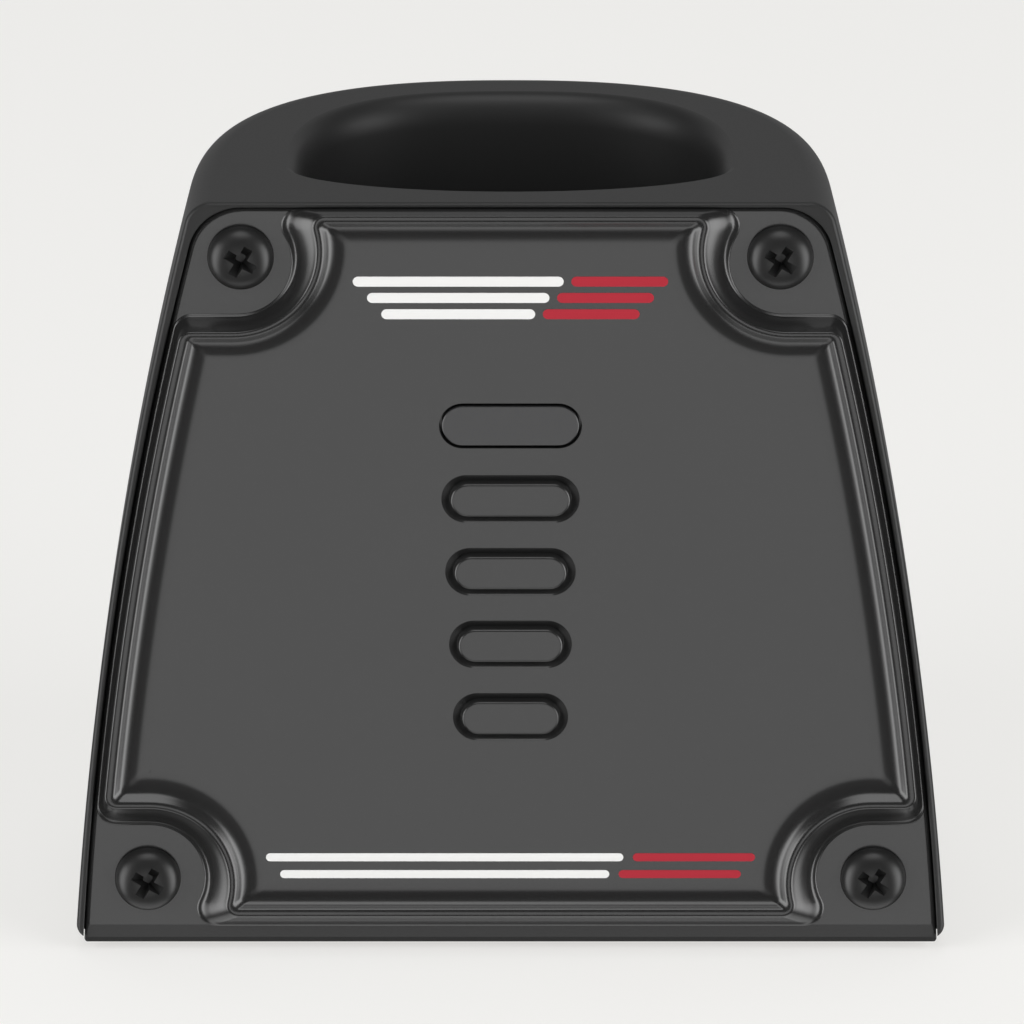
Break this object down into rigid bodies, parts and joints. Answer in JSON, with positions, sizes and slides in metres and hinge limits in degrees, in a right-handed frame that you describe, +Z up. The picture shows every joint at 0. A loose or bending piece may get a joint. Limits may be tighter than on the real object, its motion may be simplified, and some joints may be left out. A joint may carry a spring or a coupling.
{
  "type": "hair clipper charging base",
  "caption": "Black trapezoid charging base with a screwed-on front plate, an oval well in the top for a hair clipper and two sprung contacts in its floor.",
  "frame": {"origin": "centre of the footprint, on the surface that the rubber feet stand on", "axes": "+X to the right seen from the front, +Y to the rear, +Z up; the front plate faces -Y"},
  "size_m": [0.0924, 0.0695, 0.0837],
  "materials": {
    "housing_black": "fine satin moulded black",
    "powder_coat": "satin black powder coat",
    "screw_black": "black oxide, satin",
    "window_black": "smoked, satin",
    "clear_plastic": "clear, gloss",
    "board_green": "solder mask green",
    "black_plastic": "fine texture black",
    "gold_plate": "gold plated, polished",
    "aluminium_can": "satin",
    "rubber": "matt black",
    "label_grey": "plain matt grey",
    "red_lead": "red insulation",
    "black_lead": "black insulation",
    "steel": "zinc plated"
  },
  "bodies": {
    "base": {"ballast_plate": "steel", "ballast_screw_left": "steel", "ballast_screw_right": "steel", "base_cover": "black_plastic", "base_screw_front_left": "steel", "base_screw_front_right": "steel", "base_screw_rear_left": "steel", "base_screw_rear_right": "steel", "board_connector": "label_grey", "board_screw_left": "steel", "board_screw_right": "steel", "capacitor": "aluminium_can", "circuit_board": "board_green", "contact_block": "black_plastic", "contact_lead_left": "black_lead", "contact_lead_right": "red_lead", "contact_retainer": "black_plastic", "contact_spring_left": "steel", "contact_spring_right": "steel", "contact_terminal_left": "gold_plate", "contact_terminal_right": "gold_plate", "foot_front_left": "rubber", "foot_front_right": "rubber", "foot_rear_left": "rubber", "foot_rear_right": "rubber", "front_plate": "powder_coat", "front_screw_bottom_left": "screw_black", "front_screw_bottom_right": "screw_black", "front_screw_top_left": "screw_black", "front_screw_top_right": "screw_black", "housing_shell": "housing_black", "indicator_led": "clear_plastic", "indicator_window": "window_black", "inductor": "black_plastic", "inlet_lead_negative": "black_lead", "inlet_lead_positive": "red_lead", "jack_body": "black_plastic", "jack_pin": "steel", "jack_terminal": "steel", "light_guide": "clear_plastic", "rating_label": "label_grey", "regulator_chip": "black_plastic", "retainer_screw_left": "steel", "retainer_screw_right": "steel"},
    "contact_left": {"contact_pin_left": "gold_plate"},
    "contact_right": {"contact_pin_right": "gold_plate"}
  },
  "joints": [
    {"name": "contact_left_press", "type": "slide", "parent": "base", "child": "contact_left", "axis": [0, 0, 1], "range_m": [-0.0015, 0], "stiffness_N_per_m": 450, "springref_m": 0.0011, "deforming": ["contact_spring_left"]},
    {"name": "contact_right_press", "type": "slide", "parent": "base", "child": "contact_right", "axis": [0, 0, 1], "range_m": [-0.0015, 0], "stiffness_N_per_m": 450, "springref_m": 0.0011, "deforming": ["contact_spring_right"]}
  ]
}
